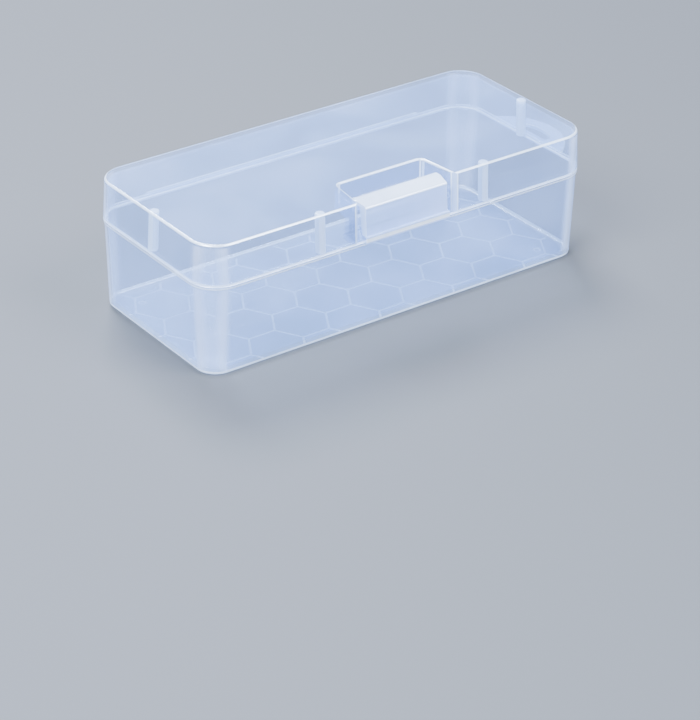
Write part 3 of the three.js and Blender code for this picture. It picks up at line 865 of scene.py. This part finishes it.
def polypropylene(name, colour, face_on, grazing, slope=4, corner=0, polish=0.04, gloss=0.12,
                  glow=0.45):
    """Natural polypropylene, moulded: milky, and whiter where it is seen at a slant.

    It covers what lies behind it by a share that goes from face_on to grazing, the later the
    larger slope is, and by corner more in the painted highlight bands of the upright corners.
    Polish is the share that its skin mirrors face on, gloss how rough that mirror is, and glow the
    share of its body that shines through.
    """
    material = new_material(name)
    tree = material.node_tree
    place = add_node(tree, "ShaderNodeTexCoord").outputs["Object"]
    flow = add_node(tree, "ShaderNodeTexNoise", {
        "Vector": place, "Scale": 1 / FLOW_PITCH, "Detail": FLOW_DETAIL,
        "Roughness": FLOW_ROUGHNESS, "Distortion": FLOW_DISTORTION}).outputs["Fac"]
    cloud = add_node(tree, "ShaderNodeMapRange", {
        "Value": flow, "From Min": FLOW_LOW, "From Max": FLOW_HIGH,
        "To Min": FLOW_THIN, "To Max": FLOW_THICK}).outputs["Result"]
    white = add_node(tree, "ShaderNodeMapRange", {
        "Value": flow, "From Min": FLOW_WHITE_LOW, "From Max": FLOW_HIGH,
        "To Max": FLOW_WHITE}).outputs["Result"]
    slant = add_node(tree, "ShaderNodeLayerWeight", {"Blend": 0.5}).outputs["Facing"]
    steep = add_node(tree, "ShaderNodeMath", {0: slant, 1: slope}, operation="POWER").outputs[0]
    cover = add_node(tree, "ShaderNodeMapRange", {"Value": steep, "To Min": face_on,
                                                  "To Max": grazing}).outputs["Result"]
    milk = add_node(tree, "ShaderNodeMath", {0: cover, 1: cloud}, operation="MULTIPLY",
                    use_clamp=True).outputs[0]
    if corner:
        # Painted highlight bands in the upright corners, whiter and milkier, most where each bend
        # starts and ends. On a straight wall one of the two shares below is 0, and in the middle of
        # a bend their product is largest
        axes = add_node(tree, "ShaderNodeSeparateXYZ", {0: place})
        bends = []
        for axis, middle, half in (("X", MIDDLE_X, HALF_LENGTH), ("Y", 0, HALF_WIDTH)):
            off = add_node(tree, "ShaderNodeMath", {0: axes.outputs[axis], 1: middle},
                           operation="SUBTRACT").outputs[0]
            side = add_node(tree, "ShaderNodeMath", {0: off}, operation="ABSOLUTE").outputs[0]
            bends.append(add_node(tree, "ShaderNodeMapRange", {
                "Value": side, "From Min": half - RIM_RADIUS,
                "From Max": half}).outputs["Result"])
        bend = add_node(tree, "ShaderNodeMath", {0: bends[0], 1: bends[1]},
                        operation="MULTIPLY").outputs[0]
        rest = add_node(tree, "ShaderNodeMath", {0: HIGHLIGHT_BAND_MIDDLE, 1: bend},
                        operation="SUBTRACT").outputs[0]
        ends = add_node(tree, "ShaderNodeMath", {0: bend, 1: rest},
                        operation="MULTIPLY").outputs[0]
        level = add_node(tree, "ShaderNodeMath", {0: ends, 1: HIGHLIGHT_BAND_GAIN},
                         operation="MULTIPLY").outputs[0]
        soft = add_node(tree, "ShaderNodeMath", {0: level, 1: HIGHLIGHT_BAND_SOFTNESS},
                        operation="POWER").outputs[0]
        # Only between the floor and the lid's plate, which have no bends
        low = FOOT_HEIGHT + FLOOR_THICKNESS + FUSE
        high = TOP_Z - LID_PLATE - FUSE
        walls = add_node(tree, "ShaderNodeMath", {
            0: axes.outputs["Z"], 1: (low + high) / 2, 2: (high - low) / 2},
            operation="COMPARE").outputs[0]
        band = add_node(tree, "ShaderNodeMath", {0: soft, 1: walls},
                        operation="MULTIPLY").outputs[0]
        milk = add_node(tree, "ShaderNodeMath", {0: band, 1: corner, 2: milk},
                        operation="MULTIPLY_ADD", use_clamp=True).outputs[0]
        white = add_node(tree, "ShaderNodeMath", {0: band, 1: HIGHLIGHT_BAND_WHITE, 2: white},
                         operation="MULTIPLY_ADD", use_clamp=True).outputs[0]
    ripple = add_node(tree, "ShaderNodeTexNoise", {
        "Vector": place, "Scale": 1 / RIPPLE_PITCH, "Detail": 1}).outputs["Fac"]
    bump = add_node(tree, "ShaderNodeBump", {
        "Height": ripple, "Distance": RIPPLE_HEIGHT,
        "Strength": RIPPLE_STRENGTH}).outputs["Normal"]
    clear = add_node(tree, "ShaderNodeBsdfTransparent", {
        "Color": linear(CLEAR_COLOUR)}).outputs["BSDF"]
    tint = add_node(tree, "ShaderNodeMixRGB", {
        "Fac": white, "Color1": linear(colour),
        "Color2": linear(WHITENED_AND_HIGHLIGHT_COLOUR)}).outputs["Color"]
    skin = add_node(tree, "ShaderNodeBsdfPrincipled", {
        "Base Color": tint, "Roughness": PLASTIC_ROUGHNESS, "IOR": PLASTIC_IOR,
        "Normal": bump}).outputs["BSDF"]
    through = add_node(tree, "ShaderNodeBsdfTranslucent", {"Color": tint}).outputs["BSDF"]
    body = add_node(tree, "ShaderNodeMixShader", {0: glow, 1: skin, 2: through}).outputs[0]
    seen = add_node(tree, "ShaderNodeMixShader", {0: milk, 1: clear, 2: body}).outputs[0]
    power = add_node(tree, "ShaderNodeMath", {0: slant, 1: MIRROR_POWER},
                     operation="POWER").outputs[0]
    mirror = add_node(tree, "ShaderNodeMapRange", {"Value": power, "To Min": polish,
                                                   "To Max": MIRROR_GRAZING}).outputs["Result"]
    shine = add_node(tree, "ShaderNodeBsdfGlossy", {
        "Color": linear(MIRROR_COLOUR), "Roughness": gloss, "Normal": bump}).outputs["BSDF"]
    finish = add_node(tree, "ShaderNodeMixShader", {0: mirror, 1: seen, 2: shine}).outputs[0]
    add_node(tree, "ShaderNodeOutputMaterial", {"Surface": finish})
    return material


def matt_board(name, colour):
    """Matt board that the box stands on."""
    material = new_material(name)
    tree = material.node_tree
    board = add_node(tree, "ShaderNodeBsdfPrincipled", {
        "Base Color": linear(colour), "Roughness": STAGE_ROUGHNESS}).outputs["BSDF"]
    add_node(tree, "ShaderNodeOutputMaterial", {"Surface": board})
    return material


def finish_piece(piece, materials, node):
    """Smooths a piece but for its flat faces, gives it its materials, and hides its CAD node."""
    reopen(piece)
    outward()
    leave(piece)
    bpy.ops.object.shade_smooth_by_angle(angle=math.radians(SMOOTH_ANGLE))
    modifier = piece.modifiers.new("flat_faces", "WEIGHTED_NORMAL")
    modifier.keep_sharp = True
    bpy.ops.object.modifier_apply(modifier=modifier.name)
    piece.data.materials.clear()
    for material in materials:
        piece.data.materials.append(material)
    for face in piece.data.polygons:
        face.material_index = 0
    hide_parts(node)


def paint(piece, material, test):
    """Gives one of its materials to the faces of a piece whose centre and normal pass a test."""
    index = piece.data.materials.find(material.name)
    for face in piece.data.polygons:
        if test(face.center, face.normal):
            face.material_index = index


def faces_out(place, facing):
    """Whether a face looks away from the middle of the box."""
    return (facing.x * (place.x - MIDDLE_X) / HALF_LENGTH
            + facing.y * place.y / HALF_WIDTH) > 0


def turn(facing):
    """How far a wall looks away from both X and Y: 0 along either, and 0.7 between them."""
    return min(abs(facing.x), abs(facing.y))


def on_loop(place, facing):
    """Whether a face belongs to the hang loop."""
    return place.x > END_X + FUSE and place.z > RIM_Z - LOOP_THICKNESS - MM


def behind_pocket_wall(place, facing):
    """Whether a face is on the far side of one of the pocket's walls, seen from the pocket."""
    past = (abs(place.x - MIDDLE_X) > pocket_half(place.y) + WALL / 2
            or place.y > POCKET_BACK_Y + WALL / 2)
    return (past and place.z > POCKET_Z - WALL and abs(facing.z) < UPRIGHT
            and abs(place.x - MIDDLE_X) < POCKET_FRONT_HALF + WALL
            and FRONT_Y + WALL < place.y < POCKET_BACK_Y + WALL + NEAR)


def on_pocket_edge(place, facing):
    """Whether a face belongs to the pocket's rounded upper edge."""
    return (place.z > TOP_Z - POCKET_EDGE - NEAR and facing.z < FLAT
            and abs(place.x - MIDDLE_X) < POCKET_FRONT_HALF + MM
            and FRONT_Y + MM < place.y < POCKET_BACK_Y + MM)


def on_pocket_corner(place, facing):
    """Whether a face lies along the middle of a back corner inside, or beside it outside."""
    return (place.z > POCKET_Z - WALL and abs(facing.z) < UPRIGHT
            and POCKET_BACK_Y - POCKET_CORNER < place.y < POCKET_BACK_Y + WALL + MM
            and (turn(facing) > TURN_MIDDLE if facing.y < 0 else
                 TURN_EARLY < turn(facing) < TURN_LATE and abs(facing.x) > abs(facing.y)))


def on_left_corner(place, facing):
    """Whether a face lies in the part of the pocket's left back corner that looks forwards."""
    return (place.z > POCKET_Z and place.x < MIDDLE_X
            and POCKET_BACK_Y - POCKET_CORNER < place.y < POCKET_BACK_Y + NEAR
            and facing.x > TURN_START and facing.y < -TURN_MIDDLE)


def on_mouth(place, facing):
    """Whether a face belongs to the rounded ends of the skirt on both sides of the flap."""
    aside = abs(place.x - MIDDLE_X) - POCKET_FRONT_HALF
    return (abs(facing.z) < UPRIGHT and turn(facing) > TURN_START
            and place.y < FRONT_Y + MOUTH_RADIUS + MM and -MM < aside < MOUTH_RADIUS + MM)


def add_camera():
    """Camera at the photograph's viewing angle and distance."""
    azimuth, elevation, roll = (math.radians(angle) for angle in
                                (CAMERA_AZIMUTH, CAMERA_ELEVATION, CAMERA_ROLL))
    back = Vector((math.cos(elevation) * math.cos(azimuth),
                   math.cos(elevation) * math.sin(azimuth), math.sin(elevation)))
    level = Vector((-math.sin(azimuth), math.cos(azimuth), 0))
    upright = back.cross(level)
    right = math.cos(roll) * level + math.sin(roll) * upright
    up = math.cos(roll) * upright - math.sin(roll) * level
    # The target isn't in the middle of the picture, so the camera stands aside by as much
    aside = (TARGET_PIXEL[0] - IMAGE_WIDTH / 2) / FOCAL_PIXELS * CAMERA_DISTANCE
    below = (TARGET_PIXEL[1] - IMAGE_HEIGHT / 2) / FOCAL_PIXELS * CAMERA_DISTANCE
    place = (Vector((MIDDLE_X, 0, TARGET_HEIGHT)) + CAMERA_DISTANCE * back
             - aside * right + below * up)
    camera = bpy.data.objects.new("camera", bpy.data.cameras.new("camera"))
    bpy.context.scene.collection.objects.link(camera)
    camera.data.sensor_width = SENSOR_WIDTH
    camera.data.lens = FOCAL_PIXELS / max(IMAGE_WIDTH, IMAGE_HEIGHT) * SENSOR_WIDTH
    turned = Matrix((right, up, back)).transposed().to_4x4()
    camera.matrix_world = Matrix.Translation(place) @ turned
    bpy.context.scene.camera = camera


def add_light(name, place, size, power):
    """Square soft light aimed at the box."""
    lamp = bpy.data.lights.new(name, "AREA")
    lamp.size = size
    lamp.energy = power
    lamp.color = linear(LIGHT_COLOUR)[:3]
    light = bpy.data.objects.new(name, lamp)
    light.location = place
    aim = Vector(LIGHT_AIM) - Vector(place)
    light.rotation_euler = aim.to_track_quat("-Z", "Y").to_euler()
    bpy.context.scene.collection.objects.link(light)


def add_studio():
    """Pale floor, pale surroundings and soft lights."""
    bpy.ops.mesh.primitive_plane_add(size=STAGE_SIZE, location=(0, 0, -FUSE))
    floor = bpy.context.object
    floor.name = "floor"
    floor.data.materials.append(matt_board("pale_board", STAGE_COLOUR))
    world = bpy.data.worlds.new("surroundings")
    world.use_nodes = True
    sky = world.node_tree.nodes["Background"]
    sky.inputs["Color"].default_value = linear(SKY_COLOUR)
    sky.inputs["Strength"].default_value = SKY_STRENGTH
    bpy.context.scene.world = world
    for name, place, size, power in LIGHTS:
        add_light(name, place, size, power)


add_camera()
add_studio()

# Every piece is unpigmented polypropylene, injection moulded in a polished steel mould. The
# plastic scatters light inside: a thin wall is nearly clear, and the more plastic the eye looks
# through, the milkier and whiter it is. The mould's polish leaves a soft gloss all over.

# Walls of 1.2 mm: nearly clear face on, with soft whitish painted highlight bands in the upright
# corners
WALL_PLASTIC = polypropylene("natural_polypropylene_moulded", "#a2c4fd", 0.09, 0.85, corner=0.27)
# Edges and rims, seen along the whole width of a wall: almost white, partly from the thicker
# plastic and partly as painted highlight lines, with a bright glint
EDGE_AND_HIGHLIGHT_PLASTIC = polypropylene("natural_polypropylene_edge_and_highlight", "#e9f4ff", 0.92, 1, polish=0.2,
                             gloss=0.2, glow=0.35)
# Solid pillars of 3.9 mm: whitish right through
PILLAR_PLASTIC = polypropylene("natural_polypropylene_pillar", "#e9f4ff", 0.82, 1, slope=2.5,
                               polish=0.15, glow=0.4)
# Floor of 1.5 mm, seen through a wall: a bluish milk
FLOOR_PLASTIC = polypropylene("natural_polypropylene_floor", "#cadeff", 0.46, 0.75)
# Ridges under the floor: thin lines that catch the light and glow
RIDGE_PLASTIC = polypropylene("natural_polypropylene_ridge", "#e2eeff", 0.95, 1, glow=0.55)
# Flap, hang loop and mouth of the pocket, where walls double: milky, the far side only guessed
THICK_PLASTIC = polypropylene("natural_polypropylene_thick", "#c4dbff", 0.58, 0.95)
# Films whitened by bending, which tears fine voids into the plastic: an even, nearly opaque white
FILM_PLASTIC = polypropylene("natural_polypropylene_whitened", "#f4faff", 0.95, 1, polish=0.2,
                             glow=0.15)
# Walls of the pocket, which stand one behind the other: milkier than a wall alone
POCKET_PLASTIC = polypropylene("natural_polypropylene_pocket", "#a2c4fd", 0.32, 0.85)

tub = model_tub()
finish_piece(tub, (WALL_PLASTIC, EDGE_AND_HIGHLIGHT_PLASTIC, RIDGE_PLASTIC, FLOOR_PLASTIC, THICK_PLASTIC),
             "base_tub")
# Underside of the floor, its ridges, and the hollows of the feet
paint(tub, FLOOR_PLASTIC, lambda place, facing: place.z < FOOT_HEIGHT + NEAR
      and facing.z < -LEVEL)
paint(tub, RIDGE_PLASTIC, lambda place, facing: place.z < FOOT_HEIGHT - FUSE)
paint(tub, FLOOR_PLASTIC, lambda place, facing: near(place.z, FOOT_HOLLOW))
# Painted highlight lines on the rounded edge of the floor with the band over it, and on the bead
paint(tub, EDGE_AND_HIGHLIGHT_PLASTIC, lambda place, facing:
      0 < place.z - FOOT_HEIGHT < FLOOR_EDGE + FLOOR_HIGHLIGHT_BAND and -LEVEL < facing.z < 0)
paint(tub, EDGE_AND_HIGHLIGHT_PLASTIC, lambda place, facing: abs(facing.z) < SLANTING
      and BEAD_BOTTOM - BEAD_STEP < place.z - FOOT_HEIGHT < BEAD_BOTTOM + BEAD_HIGHLIGHT_BAND)
# Hang loop and its edges
paint(tub, THICK_PLASTIC, on_loop)
paint(tub, EDGE_AND_HIGHLIGHT_PLASTIC, lambda place, facing: on_loop(place, facing) and abs(facing.z) < LEVEL)
# Painted highlight line along the rim
paint(tub, EDGE_AND_HIGHLIGHT_PLASTIC, lambda place, facing: place.z > RIM_Z - RIM_EDGE
      and (abs(facing.z) < LEVEL or place.z > RIM_Z - NEAR))

lid = model_lid()
finish_piece(lid, (WALL_PLASTIC, EDGE_AND_HIGHLIGHT_PLASTIC, THICK_PLASTIC, POCKET_PLASTIC), "lid")
# Walls of the pocket
paint(lid, POCKET_PLASTIC, behind_pocket_wall)
# Painted highlight lines on the rounded edge of the top and on the band over the seam
paint(lid, EDGE_AND_HIGHLIGHT_PLASTIC, lambda place, facing: place.z > TOP_Z - LID_EDGE
      and RISING < facing.z < SLANTING)
paint(lid, EDGE_AND_HIGHLIGHT_PLASTIC, lambda place, facing: place.z < SEAM_Z + SEAM_HIGHLIGHT_BAND
      and abs(facing.z) < SLANTING and faces_out(place, facing))
# Painted highlight lines along the upper edge and back corners of the pocket
for test in (on_pocket_edge, on_pocket_corner, on_left_corner):
    paint(lid, EDGE_AND_HIGHLIGHT_PLASTIC, test)
# Rounded ends of the skirt beside the flap, with painted highlight lines where they start and end
paint(lid, THICK_PLASTIC, on_mouth)
paint(lid, EDGE_AND_HIGHLIGHT_PLASTIC, lambda place, facing: on_mouth(place, facing)
      and turn(facing) < TURN_EARLY)
pillars = model_pillars()
finish_piece(pillars, (PILLAR_PLASTIC,), "lid")

flap = model_flap()
finish_piece(flap, (THICK_PLASTIC, EDGE_AND_HIGHLIGHT_PLASTIC), "latch_flap")
# Painted highlight on the upper side of the lip and its bend, and on both ends
paint(flap, EDGE_AND_HIGHLIGHT_PLASTIC, lambda place, facing: facing.z > RISING
      and place.z > FOOT_HEIGHT + FLAP_TOP - LIP_FALL - FLAP_BEND)
paint(flap, EDGE_AND_HIGHLIGHT_PLASTIC, lambda place, facing: abs(facing.x) > SLANTING
      and abs(place.x - MIDDLE_X) > FLAP_HALF - 2 * FUSE)

lid_film = model_film("lid_film", LID_FILM_HALF, 1, LID_BOTTOM)
finish_piece(lid_film, (FILM_PLASTIC,), "lid_hinge_web")
latch_film = model_film("latch_film", LATCH_FILM_HALF, -1, FLAP_BOTTOM)
finish_piece(latch_film, (THICK_PLASTIC, FILM_PLASTIC), "latch_hinge_web")
# The fold along the middle
paint(latch_film, FILM_PLASTIC, lambda place, facing:
      abs(place.z - FOOT_HEIGHT - (TUB_HEIGHT + FLAP_BOTTOM) / 2) < LATCH_FILM_FOLD)

for piece, body in ((tub, "tub"), (lid, "lid"), (pillars, "lid"), (flap, "latch")):
    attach(piece, body)
for piece, body, side, top in ((lid_film, "lid", 1, LID_BOTTOM),
                               (latch_film, "latch", -1, FLAP_BOTTOM)):
    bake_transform(piece)
